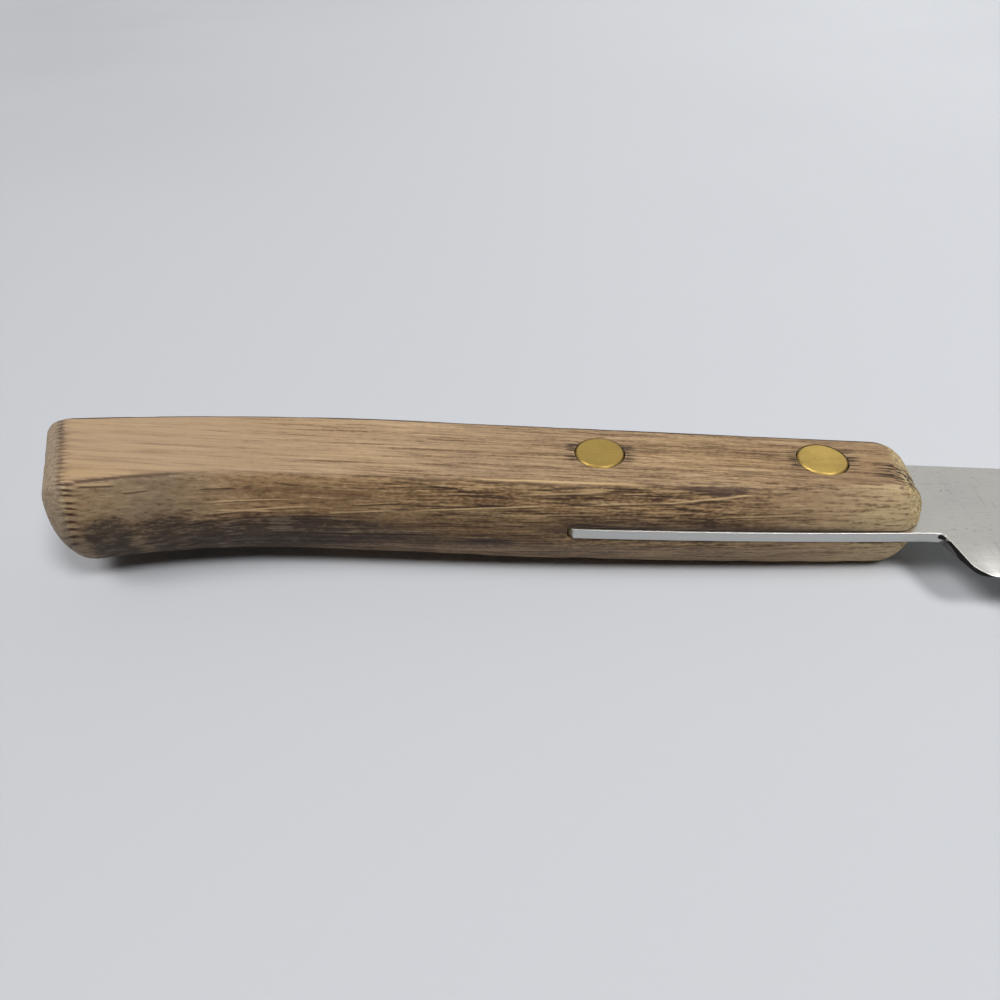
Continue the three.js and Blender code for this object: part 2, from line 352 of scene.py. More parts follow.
def slot_cutter():
    low = np.array([-SLOT_LENGTH, -2 * BUTT_DEPTH, -SLOT_HALF])
    high = np.array([HANDLE_LENGTH, 2 * BUTT_DEPTH, SLOT_HALF])
    corners = [np.where(corner, high, low) for corner in np.ndindex(2, 2, 2)]
    faces = [(0, 1, 3, 2), (4, 6, 7, 5), (0, 4, 5, 1), (2, 3, 7, 6), (0, 2, 6, 4), (1, 5, 7, 3)]
    return mesh_object("slot_cutter", corners, faces)


def bore_cutter(x, y):
    seat = HALF - RIVET_HEAD_HEIGHT - SEAT_GAP
    slim = TUBE_DIAMETER / 2 + BORE_GAP
    profile = [(BORE, -HANDLE_THICKNESS), (BORE, -seat), (slim, -seat)]
    profile += [(radius, -z) for radius, z in reversed(profile)]
    angles = np.linspace(0, 2 * math.pi, BORE_STEPS, endpoint=False)
    points = [(x + r * math.cos(a), y + r * math.sin(a), z) for r, z in profile for a in angles]
    faces = []
    for i in range(len(profile) - 1):
        faces += ring_faces(i * BORE_STEPS, (i + 1) * BORE_STEPS, BORE_STEPS)
    faces.append(tuple(range(BORE_STEPS)))
    faces.append(tuple(range((len(profile) - 1) * BORE_STEPS, len(profile) * BORE_STEPS)))
    return mesh_object("bore_cutter", points, faces)


def cut(target, cutters):
    for cutter in cutters:
        modifier = target.modifiers.new("cut", "BOOLEAN")
        modifier.operation = "DIFFERENCE"
        modifier.solver = "MANIFOLD"
        modifier.object = cutter
    shaped = target.evaluated_get(bpy.context.evaluated_depsgraph_get())
    target.data = bpy.data.meshes.new_from_object(shaped)
    target.data.materials.clear()
    target.modifiers.clear()
    for cutter in cutters:
        bpy.data.objects.remove(cutter)


# Wear of the handle and painted shade, as masks for its material. Places along it are millimetres from the
# front end, heights are millimetres from the middle plane, and facings are parts of a normal.

STAIN_BORDER = [  # place along the handle, and how high the stain reaches there
    (48, -2.0), (57, -0.4), (67, 0.1), (74, 0.7), (82, 1.5), (90, 1.7), (100, 1.0), (105, 0.8), (116, 1.8),
]
STAIN_DEPTH = [  # place along the handle, and how dark the stain is there
    (36, 0), (56, 0.4), (74, 0.6), (90, 0.85), (98, 1), (112, 1), (114, 0.8), (116, 0.45),
    (117, 0.6), (119, 1.1), (121, 1.05), (123, 0.6), (124, 0),
]
DASHES_ON_BELLY = [(-3, 125.4), (1, 124.5), (5, 123.7)]  # height, and place of the row of dashes there
DASHES_ON_FLANKS = 124.3


def curve(knots, value):
    """Reads a value off the straight lines between knots."""
    return np.interp(value, *zip(*knots))


def handled_mask(along, sides):
    """Wood browned by hands: on belly and back, and less on the flanks."""
    edges = sides * (0.3 + 0.7 * ease(8, 36, along)) * (1 - 0.35 * ease(95, 118, along))
    flanks = 0.14 * ease(114, 96, along) + 0.29 * ease(80, 45, along) + 0.16 * ease(35, 20, along)
    return np.maximum(edges, flanks)


def grime_mask(points, normals, along, belly, sides):
    """Dirt with painted shade on the slot's lips and the back's edges; darker wood above and behind the slot.
    """
    x, _, z = points.T
    upper = z > 0
    slot, _ = lip_distance(points)
    reach = np.where(upper, 0.6 + 0.5 * ease(14, 26, along), 0.25)
    # Painted shade and dirt on the slot's lips, where its gap lies in shadow.
    lips = np.exp(-slot / reach) * sides * ease(SLOT_LENGTH + 1.5, SLOT_LENGTH - 1, -x)
    lips = lips * np.where(upper, ease(3, 12, along), 0.6)
    above = 0.55 * upper * hump(2.0, 1.6, z) * ease(18, 34, along) * ease(62, 50, along) * belly
    behind = 0.6 * hump(SLOT_LENGTH + 3.5, 4.5, along) * hump(0.3, 1.5, z) * belly
    # Painted shade and dirt along the back's edges, which face away from the light.
    back = 0.9 * ease(0.03, 0.3, normals[:, 1]) * (1 - 0.8 * ease(0.6, 0.9, normals[:, 1]))
    return np.maximum.reduce([lips, above, behind, back])


def stain_mask(points, normals, along):
    """The dark stain along the lower belly and the underside, rubbed off a little toward the front."""
    _, y, z = points.T
    drift = noise(points, (0.06, 0.25, 0.25), 11) - 0.5
    above = z - curve(STAIN_BORDER, along) + 1.2 * drift
    low = ease(-0.3, 0.3, -normals[:, 1]) * ease(2.2, -1.8, above)
    underside = 0.9 * ease(-4.8, -6.6, z) * ease(-12, -15.5, y)
    rubbed_off = 0.45 * ease(-2.2, -5.2, z) * ease(98, 80, along)
    return np.maximum(low, underside) * curve(STAIN_DEPTH, along) * (1 - rubbed_off)


def dashes_mask(points, normals, along):
    """The strip round the butt that holds a row of dark dashes."""
    on_belly = normals[:, 1] < -0.5
    place = np.where(on_belly, curve(DASHES_ON_BELLY, points[:, 2]), DASHES_ON_FLANKS)
    return hump(place, np.where(on_belly, 1.1, 0.8), along)


def ridge_mask(normals, along):
    """The ridge between flank and belly, where it is dark."""
    ridge = hump(0.9, 0.08, np.abs(normals[:, 2])) * (normals[:, 1] < 0)
    at_butt = ease(104, 112, along) * ease(125.5, 124, along)
    return ridge * (at_butt + 0.3 * ease(60, 75, along) + 0.6 * ease(26, 14, along))


def wear_and_shade_masks(points, normals):
    """Two layers of four masks each, in the order in which the wood's material takes them."""
    z = points[:, 2]
    along = station_of(points)
    belly = ease(0.1, 0.6, -normals[:, 1])
    sides = ease(0.25, 0.85, np.abs(normals[:, 1]))
    handled = handled_mask(along, sides)
    grime = grime_mask(points, normals, along, belly, sides)
    stain = stain_mask(points, normals, along)
    dashes = dashes_mask(points, normals, along)
    patch = hump(0.68, 0.24, normals[:, 2]) * hump(30, 8, along) * belly
    rubbed = belly * (hump(113, 10, along) * ease(-0.5, 2.5, z) + ease(113, 118, along) * ease(1.5, -1, z))
    busy = np.maximum(handled * (1 - 0.4 * rubbed), ease(122, 70, along))
    first = np.column_stack([handled, grime, stain, dashes])
    second = np.column_stack([ridge_mask(normals, along), patch, rubbed, busy])
    return np.clip(first, 0, 1), np.clip(second, 0, 1)


def make_handle():
    handle = handle_blank()
    wear_surface(handle)
    cut(handle, [slot_cutter()] + [bore_cutter(x, y) for x, y in RIVETS])
    mesh = handle.data
    mesh.polygons.foreach_set("use_smooth", np.ones(len(mesh.polygons), bool))
    mesh.set_sharp_from_angle(angle=WOOD_SMOOTH_ANGLE)
    points, normals = own_points(mesh)
    for name, mask in zip(("wear_and_shade", "marks"), wear_and_shade_masks(points, normals)):
        mesh.attributes.new(name, "FLOAT_COLOR", "POINT").data.foreach_set("color", mask.ravel())
    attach(handle, "root")
    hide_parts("handle")
    return handle


# Materials

def linear(red, green, blue):
    """A colour given as screen values from 0 to 255, in the numbers that shaders use."""
    def channel(value):
        value /= 255
        return value / 12.92 if value <= 0.04045 else ((value + 0.055) / 1.055) ** 2.4
    return (channel(red), channel(green), channel(blue), 1)


class Nodes:
    """A node tree, to which nodes are added with their inputs and joined as they are named."""

    def __init__(self, tree):
        self.tree = tree

    def add(self, kind, inputs=None, **settings):
        made = self.tree.nodes.new("ShaderNode" + kind)
        for key, value in settings.items():
            setattr(made, key, value)
        for key, value in (inputs or {}).items():
            self.put(made.inputs[key], value)
        return made

    def put(self, socket, value):
        if isinstance(value, bpy.types.NodeSocket):
            self.tree.links.new(value, socket)
        else:
            socket.default_value = value

    def math(self, operation, first, second=0.0, third=0.0):
        return self.add("Math", {0: first, 1: second, 2: third}, operation=operation).outputs[0]

    def times(self, first, *others):
        for other in others:
            first = self.math("MULTIPLY", first, other)
        return first

    def plus(self, first, *others):
        for other in others:
            first = self.math("ADD", first, other)
        return first

    def minus(self, first, second):
        return self.math("SUBTRACT", first, second)

    def most(self, first, *others):
        for other in others:
            first = self.math("MAXIMUM", first, other)
        return first

    def off(self, value, middle):
        """How far a value is from the middle, either way."""
        return self.math("ABSOLUTE", self.minus(value, middle))

    def length(self, first, second):
        """The long side of a right-angled triangle."""
        return self.math("SQRT", self.plus(self.times(first, first), self.times(second, second)))

    def ramp(self, value, low, high, to_low=0.0, to_high=1.0, shape="SMOOTHSTEP"):
        inputs = {"Value": value, "From Min": low, "From Max": high, "To Min": to_low, "To Max": to_high}
        return self.add("MapRange", inputs, interpolation_type=shape).outputs[0]

    def line(self, value, middle, width):
        """1 where a value is at the middle, 0 where it is further off than the width."""
        return self.ramp(self.off(value, middle), width, 0.0)

    def vector(self, operation, first, second):
        return self.add("VectorMath", {0: first, 1: second}, operation=operation).outputs[0]

    def dot(self, first, second):
        return self.add("VectorMath", {0: first, 1: second}, operation="DOT_PRODUCT").outputs["Value"]

    def parts(self, vector):
        return self.add("SeparateXYZ", {0: vector}).outputs[:]


class Shader(Nodes):
    """A material's nodes, with the colour that has been made so far."""

    def __init__(self, name):
        self.material = bpy.data.materials.new(name)
        self.material.use_nodes = True
        super().__init__(self.material.node_tree)
        self.surface = self.tree.nodes["Principled BSDF"]
        self.place = self.millimetres()
        self.colour = None

    def set(self, **inputs):
        for key, value in inputs.items():
            self.put(self.surface.inputs[key.replace("_", " ")], value)

    def mix(self, share, first, second):
        made = self.add("Mix", data_type="RGBA")
        self.put(made.inputs["Factor"], share)
        self.put([s for s in made.inputs if s.name == "A" and s.type == "RGBA"][0], first)
        self.put([s for s in made.inputs if s.name == "B" and s.type == "RGBA"][0], second)
        return [s for s in made.outputs if s.type == "RGBA"][0]

    def tint(self, share, colour):
        """Mixes a share of another colour into the colour made so far."""
        self.colour = self.mix(share, self.colour, colour)

    def noise(self, vector, scale, detail=2.0, rough=0.5, offset=(0, 0, 0), output="Fac"):
        """Noise with a scale in waves per millimetre along each axis."""
        at = self.add("Mapping", {"Vector": vector, "Scale": scale, "Location": offset}).outputs[0]
        inputs = {"Vector": at, "Scale": 1.0, "Detail": detail, "Roughness": rough}
        return self.add("TexNoise", inputs).outputs[output]

    def masks(self, name):
        """The four channels of a colour attribute."""
        layer = self.add("Attribute", attribute_name=name)
        parts = self.add("SeparateColor", {0: layer.outputs["Color"]})
        return [*parts.outputs[:3], layer.outputs["Alpha"]]

    def millimetres(self):
        """Places on the object, in millimetres of the frame."""
        place = self.add("TexCoord").outputs["Object"]
        return self.add("VectorMath", {0: place, "Scale": 1 / MM}, operation="SCALE").outputs[0]

    def own_axes(self):
        """Places on the object, part by part, in the knife's own axes."""
        return [self.minus(part, start) for part, start in zip(self.parts(self.place), ORIGIN)]

    def facing(self, kind="Normal"):
        return self.parts(self.add("NewGeometry").outputs[kind])

    def bump(self, height, distance, normal=None):
        inputs = {"Height": height, "Distance": distance * MM, "Strength": 1.0}
        if normal:
            inputs["Normal"] = normal
        return self.add("Bump", inputs).outputs[0]


GRAIN_LEAN = (0, 0.02, -0.03)  # how far the grain strays from the handle's length
REARWARD = Vector((-1, -0.43, 0.21))  # across the row of dashes on the belly
DASHES_REARWARD = 129.7  # where that row lies, measured that way
DASH_BEAT = (0, 7.0, 4.4)  # how fast one dash follows another, upward and across
PORE_TONE = linear(64, 45, 32)

# Raised fibres and fine splits along the belly: distance from the front end and height, at both ends,
# how light the fibre is and how dark the split under it
HAIRLINES = [
    (73, 2.8, 52, 4.5, 0.8, 0.5),
    (58, 5.6, 44, 6.4, 0.6, 0.7),
    (81, 3.4, 73, 4.2, 0.3, 0.9),
    (86, 1.8, 74, 2.8, 0.6, 0.4),
    (67, 7.2, 38, 7.0, 0.9, 0.4),
    (76, 6.9, 68, 6.5, 0.0, 0.8),
    (49, 4.5, 34, 5.2, 0.4, 0.8),
    (54, 3.0, 45, 3.3, 0.2, 0.9),
    (103, 5.4, 97, 5.6, 0.1, 0.9),
    (103, 1.5, 86, 2.9, 0.7, 0.6),
    (39, 4.8, 23, 6.3, 0.8, 0.4),
    (119, 6.9, 113, 6.6, 0.4, 0.9),
    (103, 3.4, 88, 4.0, 0.6, 0.4),
    (101, 2.1, 91, 2.0, 0.8, 0.6),
    (113, 5.6, 109, 5.7, 0.2, 0.9),
    (30, 3.2, 16, 3.7, 0.4, 0.5),
]


class Wood(Shader):
    """Worn bare hardwood: streaks, fibres, pores, fine splits along the grain with dirt in them, and painted
    shade.
    """

    def __init__(self):
        super().__init__("worn_wood")
        self.forward, self.height, self.level = self.own_axes()
        self.normal = self.facing()
        self.belly = self.ramp(self.normal[1], -0.3, -0.42)
        self.handled, self.grime, self.stain, self.dashes = self.masks("wear_and_shade")
        self.ridge, self.patch, self.rubbed, self.busy = self.masks("marks")
        self.lay_grain()
        self.set_tone()

    def lay_grain(self):
        """Noise drawn out along the grain, from broad bands to single fibres."""
        stray = self.vector("MULTIPLY", self.parts(self.place)[0], GRAIN_LEAN)
        wander = self.noise(self.place, (0.02, 0.09, 0.09), 2, output="Color")
        wander = self.vector("SUBTRACT", wander, (0.5, 0.5, 0.5))
        wander = self.vector("MULTIPLY", wander, (0, 0.9, 0.9))
        self.grain = self.vector("ADD", self.vector("ADD", self.place, stray), wander)
        self.bands = self.noise(self.grain, (0.01, 0.4, 0.4), 2)
        self.streaks = self.noise(self.grain, (0.02, 1.3, 1.3), 3, 0.65)
        self.fibres = self.noise(self.grain, (0.07, 2.6, 2.6), 2, 0.6)
        self.ragged = self.minus(self.fibres, 0.5)
        self.grit = self.noise(self.grain, (0.9, 2.1, 2.3), 3, 0.75, offset=(3, 1, 7))
        pores = self.ramp(self.noise(self.grain, (0.25, 3.0, 3.0), 1, offset=(7, 3, 5)), 0.6, 0.74)
        kept_open = self.plus(self.times(self.busy, 0.15), self.times(self.handled, 0.55))
        self.open_pores = self.times(pores, kept_open)

    def set_tone(self):
        """How dark the streaks are, and where the hand grips."""
        grip = self.times(self.ramp(self.forward, -92, -66), self.ramp(self.forward, -14, -26))
        self.gripped = self.times(grip, self.handled)
        gritty = self.math("MULTIPLY_ADD", self.handled, 0.7, 0.45)
        gritty = self.math("MULTIPLY_ADD", self.gripped, -0.55, gritty)
        self.speckle = self.times(gritty, self.minus(self.grit, 0.5))
        ahead = self.times(self.ramp(self.forward, -52, -34), self.ramp(self.forward, -12, -24))
        tone = self.plus(self.minus(self.streaks, 0.5), self.times(self.ragged, 0.9), self.speckle)
        self.tone = self.times(tone, self.math("MULTIPLY_ADD", ahead, 0.2, 1.0))

    def base_tones(self):
        """Pale wood, browner where it is handled and greyer where it is rubbed."""
        hue = self.ramp(self.noise(self.place, (0.014, 0.09, 0.09), 2, offset=(3, 3, 3)), 0.35, 0.65)
        self.colour = self.mix(hue, linear(178, 149, 113), linear(174, 148, 118))
        brown = self.mix(self.ramp(self.bands, 0.35, 0.7), linear(146, 117, 82), linear(117, 91, 62))
        self.tint(self.handled, brown)
        self.tint(self.times(self.rubbed, 0.75), linear(127, 111, 90))

    def streaks_and_pores(self):
        """Dark and light streaks along the grain, and dark open pores."""
        strong = self.math("MULTIPLY_ADD", self.busy, 0.8, 0.17)
        strong = self.times(strong, self.ramp(self.forward, -24, -10, 1.0, 0.75))
        dark = self.times(self.ramp(self.tone, 0.0, 0.3), strong, self.ramp(self.gripped, 0, 1, 0.9, 0.65))
        self.tint(dark, linear(88, 63, 44))
        light = self.times(self.ramp(self.tone, 0.0, -0.4), strong)
        light = self.times(light, self.ramp(self.handled, 0.2, 0.9, 0.75, 0.45))
        self.tint(light, linear(212, 182, 142))
        self.tint(self.open_pores, PORE_TONE)

    def grip_texture(self):
        """Fine crumbs and threads where the hand grips, dusky beside the slot and faded below it."""
        crumbs = self.noise(self.grain, (1.5, 3.3, 3.5), 0, offset=(9, 4, 6))
        threads = self.noise(self.grain, (0.12, 3.4, 3.6), 1, 0.6, offset=(4, 9, 2))
        dusk = self.times(self.line(self.level, 1.2, 3.4), 0.42)
        for share, colour in (
            (self.ramp(crumbs, 0.5, 0.68, 0, 0.4), PORE_TONE),
            (self.ramp(crumbs, 0.46, 0.3, 0, 0.3), linear(190, 158, 116)),
            (self.ramp(threads, 0.54, 0.65, 0, 0.9), linear(52, 36, 26)),
            (self.ramp(threads, 0.43, 0.32, 0, 0.6), linear(196, 164, 120)),
            (dusk, linear(78, 58, 42)),
        ):
            self.tint(self.times(self.gripped, share), colour)
        faded = self.times(self.handled, self.ramp(self.level, -1.0, -3.4, 0, 0.3), self.belly)
        self.tint(faded, linear(142, 127, 112))

    def ridge_marks(self):
        """The dark line along the ridge of the belly, and a stained patch on it."""
        ragged_line = self.ramp(self.plus(self.fibres, self.times(self.ridge, 0.2)), 0.45, 0.65)
        self.tint(self.times(self.ridge, ragged_line, 0.85), linear(74, 52, 40))
        stained = self.ramp(self.plus(self.patch, self.times(self.tone, 1.2)), 0.3, 1.0)
        self.tint(self.times(stained, 0.75), linear(72, 55, 50))

    def end_grain(self):
        """Paler wood toward the front end, and rough end grain on both ends."""
        pale = self.times(self.ramp(self.forward, -20, -3), self.belly)
        pale = self.times(pale, self.ramp(self.plus(self.fibres, self.speckle), 0.7, 0.45))
        self.tint(self.times(pale, 0.65), linear(204, 182, 140))
        rough = self.ramp(self.grit, 0.35, 0.65)
        butt_tone = self.mix(rough, linear(118, 102, 83), linear(158, 142, 120))
        # The front end is yellower than the butt, and part of its lightness is painted light.
        front_tone = self.mix(rough, linear(134, 109, 72), linear(222, 202, 153))
        end_tone = self.mix(self.ramp(self.normal[0], -0.2, 0.2), butt_tone, front_tone)
        ends = self.ramp(self.math("ABSOLUTE", self.normal[0]), 0.18, 0.45)
        row = REARWARD.dot(ORIGIN) + DASHES_REARWARD
        beyond = self.ramp(self.dot(self.place, REARWARD), row + 0.3, row + 1.0)
        ends = self.most(ends, self.times(self.belly, beyond))
        self.tint(self.times(ends, 0.85), end_tone)

    def butt_dashes(self):
        """The row of short dark dashes where the end of the butt begins."""
        uneven = self.times(self.noise(self.place, (0.1, 0.5, 0.5), 1), 9.0)
        beat = self.math("SINE", self.plus(self.dot(self.place, DASH_BEAT), uneven))
        dash = self.ramp(self.plus(beat, self.times(self.ragged, 2.0)), -0.1, 0.6)
        dash = self.times(self.dashes, dash, self.ramp(self.belly, 0, 1, 0.55, 1.0))
        self.tint(dash, linear(60, 37, 26))

    def hairlines(self):
        """The light raised fibres and dark splits of the list above, on the belly."""
        waver = self.times(self.minus(self.bands, 0.5), 0.9)
        height = self.plus(self.level, waver)
        self.raised, self.cracked = 0.0, 0.0
        for start, low, end, high, gleam, gap in HAIRLINES:
            above = self.minus(height, self.ramp(self.forward, -start, -end, low, high, shape="LINEAR"))
            reach = (start - end) / 2
            inside = self.ramp(self.off(self.forward, -(start + end) / 2), reach, 0.55 * reach)
            inside = self.times(inside, self.belly)
            if gleam:
                fibre = self.times(self.line(above, 0.0, 0.2), inside, gleam)
                self.raised = self.most(self.raised, fibre)
            self.cracked = self.most(self.cracked, self.times(self.line(above, -0.24, 0.2), inside, gap))
        self.tint(self.times(self.cracked, 0.85), linear(50, 34, 24))
        self.tint(self.times(self.raised, 0.9), linear(214, 182, 136))

    def rivet_grime(self):
        """Dark rims round the rivets, and combs of dark fibres beside them and at the front end."""
        front = self.times(self.ramp(self.forward, -11, -4), self.line(self.height, -11, 5))
        total = self.times(front, self.ramp(self.fibres, 0.38, 0.56))
        for x, y in RIVETS:
            aside = self.off(self.forward, x)
            above = self.off(self.height, y)
            rim = self.ramp(self.length(aside, above), BORE + 0.25, BORE, 0, 0.35)
            comb = self.times(self.ramp(aside, BORE + 2.6, BORE + 0.1), self.ramp(above, 3.0, 1.6))
            comb = self.times(comb, self.ramp(self.fibres, 0.35, 0.6))
            total = self.most(total, rim, comb)
        return total

    def dirt_and_shade_tint(self):
        """Dirt caught on lips, edges and fibres, and painted shade on the slot's lips and the back's edges."""
        dirt_and_shade_tint = self.most(self.grime, self.rivet_grime())
        dirt_and_shade_tint = self.ramp(self.plus(dirt_and_shade_tint, self.times(self.tone, 0.5)), 0.2, 0.95)
        self.tint(self.times(dirt_and_shade_tint, 0.9), linear(48, 36, 31))

    def soil(self):
        """The uneven dark stain along the lower belly, streaked and scuffed."""
        blotch = self.minus(self.noise(self.place, (0.16, 0.3, 0.3), 4, 0.65, offset=(1, 8, 2)), 0.5)
        uneven = self.plus(self.times(blotch, 0.9), self.times(self.tone, 0.55))
        soiled = self.ramp(self.plus(self.stain, uneven), 0.0, 0.88)
        soiled = self.times(soiled, self.ramp(self.stain, 0.0, 0.2))
        soil = self.mix(self.ramp(soiled, 0.3, 0.9), linear(90, 62, 41), linear(54, 43, 36))
        soil = self.mix(self.ramp(self.tone, -0.02, -0.28, 0, 0.8), soil, linear(112, 93, 76))
        soil = self.mix(self.ramp(self.tone, 0.05, 0.3, 0, 0.8), soil, linear(36, 27, 24))
        scuffs = self.ramp(self.plus(blotch, self.times(self.ragged, 0.8)), -0.06, -0.3)
        soil = self.mix(self.times(scuffs, 0.6), soil, linear(122, 108, 98))
        self.tint(self.times(soiled, 0.88), soil)

    def finish(self):
        relief = self.plus(self.times(self.streaks, 0.4), self.times(self.fibres, 0.5))
        relief = self.minus(relief, self.times(self.open_pores, 0.6))
        relief = self.plus(relief, self.minus(self.raised, self.cracked))
        self.set(
            Base_Color=self.colour,
            Roughness=self.ramp(self.streaks, 0.3, 0.7, 0.58, 0.78),
            Specular_IOR_Level=0.25,
            Normal=self.bump(relief, 0.05),
        )


def wood():
    s = Wood()
    s.base_tones()
    s.streaks_and_pores()
    s.grip_texture()
    s.ridge_marks()
    s.end_grain()
    s.butt_dashes()
    s.hairlines()
    s.dirt_and_shade_tint()
    s.soil()
    s.finish()
    return s.material


class Steel(Shader):
    """Satin ground steel with fine scratches along the blade, pits, and the sheared heel face painted dark as
    shade.
    """

    def __init__(self):
        super().__init__("satin_steel")
        self.along, self.height, self.level = self.own_axes()
        self.brushed = self.noise(self.place, (0.12, 7.0, 7.0), 3, 0.65)
        self.cloud = self.noise(self.place, (0.09, 0.12, 0.12), 4, 0.6)
        self.nicks = self.ramp(self.noise(self.place, (0.5, 2.6, 2.6), 2, 0.6, offset=(5, 2, 1)), 0.62, 0.72)
        self.pits = self.ramp(self.noise(self.place, (1.1, 1.5, 1.5), 2, 0.6, offset=(8, 1, 3)), 0.74, 0.8)
        self.upright = self.ramp(self.math("ABSOLUTE", self.facing("True Normal")[2]), 0.75, 0.55)

    def ground_faces(self):
        """Brushed flats with nicks and pits, and duller sheared edges."""
        self.colour = self.mix(self.ramp(self.cloud, 0.35, 0.7), linear(224, 222, 216), linear(214, 212, 207))
        self.tint(self.ramp(self.brushed, 0.4, 0.75, 0, 0.2), linear(184, 183, 180))
        self.tint(self.times(self.nicks, 0.3), linear(150, 148, 146))
        self.tint(self.times(self.pits, 0.6), linear(92, 84, 78))
        self.tint(self.times(self.upright, 0.8), linear(182, 182, 180))

    def heel_shade_reflection(self):
        """The heel's face painted nearly black, a painted reflection of shade, with a spot at the inside
        corner.
        """
        slanted = self.math("MULTIPLY_ADD", self.level, -0.5, self.along)
        band = self.times(self.ramp(slanted, 2.35, 2.5), self.ramp(self.along, 7.6, 6.2))
        border = self.ramp(self.along, 2.7, 4.2, 0.1, -1.0)
        band = self.times(band, self.ramp(self.minus(self.level, border), -0.15, 0.15, 0.75, 1.0))
        spot = self.times(self.line(self.along, 2.1, 0.65), self.line(self.level, 0.25, 0.6))
        heel = self.most(band, self.ramp(spot, 0.1, 0.4))
        heel = self.times(heel, self.upright, self.ramp(self.height, -14, -15))
        # Painted shade: the heel's face and spot are painted nearly black for the shade they reflect.
        self.tint(self.times(heel, 0.97), linear(13, 12, 12))

    def scuffs(self):
        """A painted highlight on the heel's rougher corner, scratches across the blade, freckles near the
        handle.
        """
        corner = self.length(self.minus(self.along, 8.0), self.plus(self.height, 22.5))
        self.glinting_corner = self.ramp(self.plus(corner, self.times(self.nicks, 3.0)), 6.5, 1.0)
        # Painted highlight: the flats at the heel's corner are painted almost white.
        self.tint(self.times(self.glinting_corner, self.minus(1.0, self.upright)), linear(240, 239, 233))
        lean = self.vector("MULTIPLY", self.parts(self.place)[1], (0.05, 0, 0))
        leaning = self.vector("ADD", self.place, lean)
        scratches = self.ramp(self.noise(leaning, (2.4, 0.1, 0.1), 2, 0.6, offset=(6, 0, 0)), 0.6, 0.7)
        scratches = self.times(scratches, self.ramp(self.along, 5, 8), self.ramp(self.cloud, 0.42, 0.55))
        self.tint(self.times(scratches, 0.3), linear(140, 138, 134))
        freckles = self.ramp(self.noise(self.place, (1.6, 1.9, 1.9), 2, 0.6, offset=(2, 7, 3)), 0.64, 0.72)
        freckles = self.times(freckles, self.ramp(self.along, 2, 5), self.ramp(self.along, 16, 9))
        self.tint(self.times(freckles, 0.45), linear(116, 113, 108))

    def finish(self):
        rough = self.ramp(self.brushed, 0.3, 0.7, 0.28, 0.4)
        rough = self.plus(rough, self.times(self.ramp(self.cloud, 0.4, 0.7), 0.05))
        rough = self.plus(rough, self.times(self.glinting_corner, 0.08))
        relief = self.minus(self.times(self.brushed, 0.6), self.times(self.nicks, 0.3))
        relief = self.minus(relief, self.pits)
        rounded = self.add("Bevel", {"Radius": EDGE_ROUND * MM}, samples=6).outputs[0]
        normal = self.bump(relief, 0.01, rounded)
        self.set(Base_Color=self.colour, Metallic=1.0, Roughness=rough, Normal=normal)


def steel():
    s = Steel()
    s.ground_faces()
    s.heel_shade_reflection()
    s.scuffs()
    s.finish()
    return s.material


def brass():
    """Dull brass, sanded flush along the handle, darker where it is tarnished and round its rim."""
    s = Shader("sanded_brass")
    sanded = s.noise(s.place, (0.35, 4.0, 4.0), 3, 0.6)
    tarnish = s.noise(s.place, (0.3, 0.3, 0.3), 4, 0.6)
    specks = s.ramp(s.noise(s.place, (2.2, 2.2, 2.2), 2, 0.6, offset=(4, 4, 4)), 0.66, 0.74)
    along = s.own_axes()[0]
    rear, front = sorted(x for x, _ in RIVETS)
    # Painted light: the front head is painted lighter than the rear one, for the different light on the two
    # heads.
    s.colour = s.mix(s.ramp(along, rear + 8, front - 8), linear(200, 170, 94), linear(232, 200, 114))
    s.tint(s.ramp(tarnish, 0.35, 0.75, 0, 0.5), linear(176, 148, 84))
    s.tint(s.ramp(sanded, 0.45, 0.75, 0, 0.4), linear(158, 130, 70))
    s.tint(s.times(specks, 0.5), linear(120, 96, 52))
    # Round the rim: tarnish, and painted shade that dims the glint on its rounded edge.
    rim = s.ramp(s.math("ABSOLUTE", s.facing()[2]), 0.985, 0.9)
    s.tint(s.times(rim, 0.6), linear(116, 92, 50))
    rough = s.ramp(sanded, 0.3, 0.7, 0.38, 0.52)
    s.set(Base_Color=s.colour, Metallic=1.0, Roughness=rough, Normal=s.bump(sanded, 0.01))
    return s.material


def tabletop():
    """Pale smooth board, a little greyer on the butt's side, with a painted fall-off of the light."""
    s = Shader("pale_tabletop")
    cloud = s.noise(s.place, (0.006, 0.006, 0.006), 3)
    # Painted shade: the board darkens toward the butt's side as the light falls off that way.
    side = s.ramp(s.parts(s.place)[0], -420, 230)
    s.colour = s.mix(side, linear(177, 179, 184), linear(214, 217, 222))
    s.tint(s.ramp(cloud, 0.3, 0.7, 0, 0.3), linear(198, 201, 206))
    s.set(Base_Color=s.colour, Roughness=0.6, Specular_IOR_Level=0.2)
    return s.material


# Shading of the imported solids: their facets join smoothly up to an angle, and sharp edges are eased

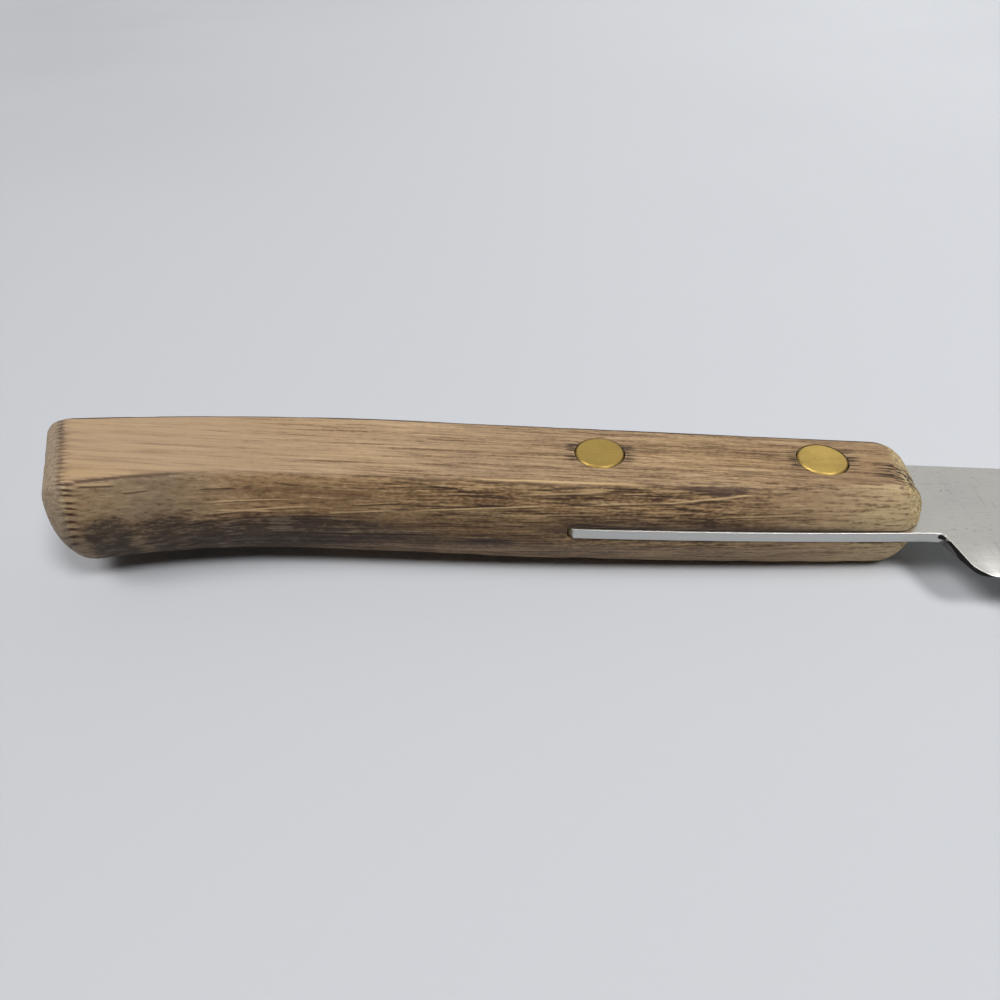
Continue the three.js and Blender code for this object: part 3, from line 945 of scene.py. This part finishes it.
def soften(node, ease_width):
    tree = bpy.data.node_groups.new(f"soft_{node.name}", "GeometryNodeTree")
    tree.interface.new_socket("Geometry", in_out="INPUT", socket_type="NodeSocketGeometry")
    tree.interface.new_socket("Geometry", in_out="OUTPUT", socket_type="NodeSocketGeometry")
    bare = tree.nodes.new("GeometryNodeRemoveAttribute")
    bare.inputs["Name"].default_value = "custom_normal"
    weld = tree.nodes.new("GeometryNodeMergeByDistance")
    weld.inputs["Distance"].default_value = WELD * MM
    smooth = tree.nodes.new("GeometryNodeSetShadeSmooth")
    chain = [tree.nodes.new("NodeGroupInput"), bare, weld, smooth, tree.nodes.new("NodeGroupOutput")]
    for before, after in zip(chain, chain[1:]):
        tree.links.new(before.outputs[0], after.inputs[0])
    node.modifiers.new("soften", "NODES").node_group = tree
    bevel = node.modifiers.new("ease", "BEVEL")
    bevel.width = ease_width * MM
    bevel.segments = 2
    bevel.limit_method = "ANGLE"
    bevel.angle_limit = SMOOTH_ANGLE
    bevel.harden_normals = True


def finish_node(name, material, ease_width):
    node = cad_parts[name]
    node.data.materials.clear()
    node.data.materials.append(material)
    soften(node, ease_width)


# Table, light and camera

TABLE_SIZE = 12000
LIGHTS = [
    # direction toward the light, angle of its even middle and of its soft rim, level
    ((-0.69, -0.15, 1.0), 4, 19, 10.25),
    ((0.4, -0.3, 1.0), 3, 12, 24.1),
]
BEHIND_LEVEL = 0.53
ROOM_LEVEL = 0.01
WALL_LEVEL = 0.56  # plain pale room, as the camera and shiny surfaces see it
LIGHT_COLOUR = (1.0, 0.995, 0.99, 1)


def make_table():
    """The table slopes a little in the frame, as the knife leans on the front of its handle and on its tip."""
    low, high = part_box("blade")
    touch_x = ORIGIN.x - FRONT_CORNERS["flank"]
    slope = (low.z / MM) / (high.x / MM - touch_x)
    bpy.ops.mesh.primitive_plane_add(size=TABLE_SIZE * MM)
    table = bpy.context.object
    table.name = "table"
    table.rotation_euler = (0, -math.atan(slope), 0)
    table.location = (touch_x * MM, 0, 0)
    table.data.materials.append(tabletop())


def make_light():
    """Two soft lights from above, left and right of the viewer, and a dim glow from beyond the knife.

    The camera and shiny surfaces see a plain pale room instead of the glow.
    """
    world = bpy.data.worlds.new("room")
    bpy.context.scene.world = world
    world.use_nodes = True
    s = Nodes(world.node_tree)
    toward = s.add("TexCoord").outputs["Generated"]
    room = s.ramp(s.dot(toward, (0, 1, 0)), 0.0, 1.0, ROOM_LEVEL, BEHIND_LEVEL, shape="LINEAR")
    path = s.add("LightPath")
    seen = s.most(path.outputs["Is Camera Ray"], path.outputs["Is Glossy Ray"])
    total = s.add("Mix", {0: seen, 2: room, 3: WALL_LEVEL}).outputs[0]
    for direction, core, rim, level in LIGHTS:
        near = s.dot(toward, Vector(direction).normalized())
        limits = [math.cos(math.radians(angle)) for angle in (rim, core)]
        total = s.plus(total, s.ramp(near, *limits, 0.0, level))
    background = s.tree.nodes["Background"]
    s.put(background.inputs["Color"], LIGHT_COLOUR)
    s.put(background.inputs["Strength"], total)


def make_camera():
    right = Vector((math.cos(YAW), -math.sin(YAW), 0))
    away = Vector((math.sin(YAW), math.cos(YAW), 0))
    rivet = Vector((front_rivet.x, front_rivet.y, ORIGIN.z))
    target = rivet - right * SIGHT_TO_RIVET[0] - away * SIGHT_TO_RIVET[1]
    back = Vector((0, 0, math.sin(ELEVATION))) - away * math.cos(ELEVATION)
    lens = bpy.data.cameras.new("camera")
    lens.sensor_width = SENSOR
    lens.lens = FOCAL
    lens.clip_start = 1 * MM
    camera = bpy.data.objects.new("camera", lens)
    bpy.context.scene.collection.objects.link(camera)
    camera.location = (target + back * DISTANCE) * MM
    camera.rotation_mode = "QUATERNION"
    camera.rotation_quaternion = (-back).to_track_quat("-Z", "Y")
    bpy.context.scene.camera = camera


make_handle().data.materials.append(wood())
finish_node("blade", steel(), BLADE_EASE)
rivet_finish = brass()
for rivet in ("front", "rear"):
    for half in ("tube", "pin"):
        finish_node(f"{rivet}_rivet_{half}", rivet_finish, RIVET_EASE)
make_table()
make_light()
make_camera()
bpy.context.scene.view_settings.view_transform = "Standard"
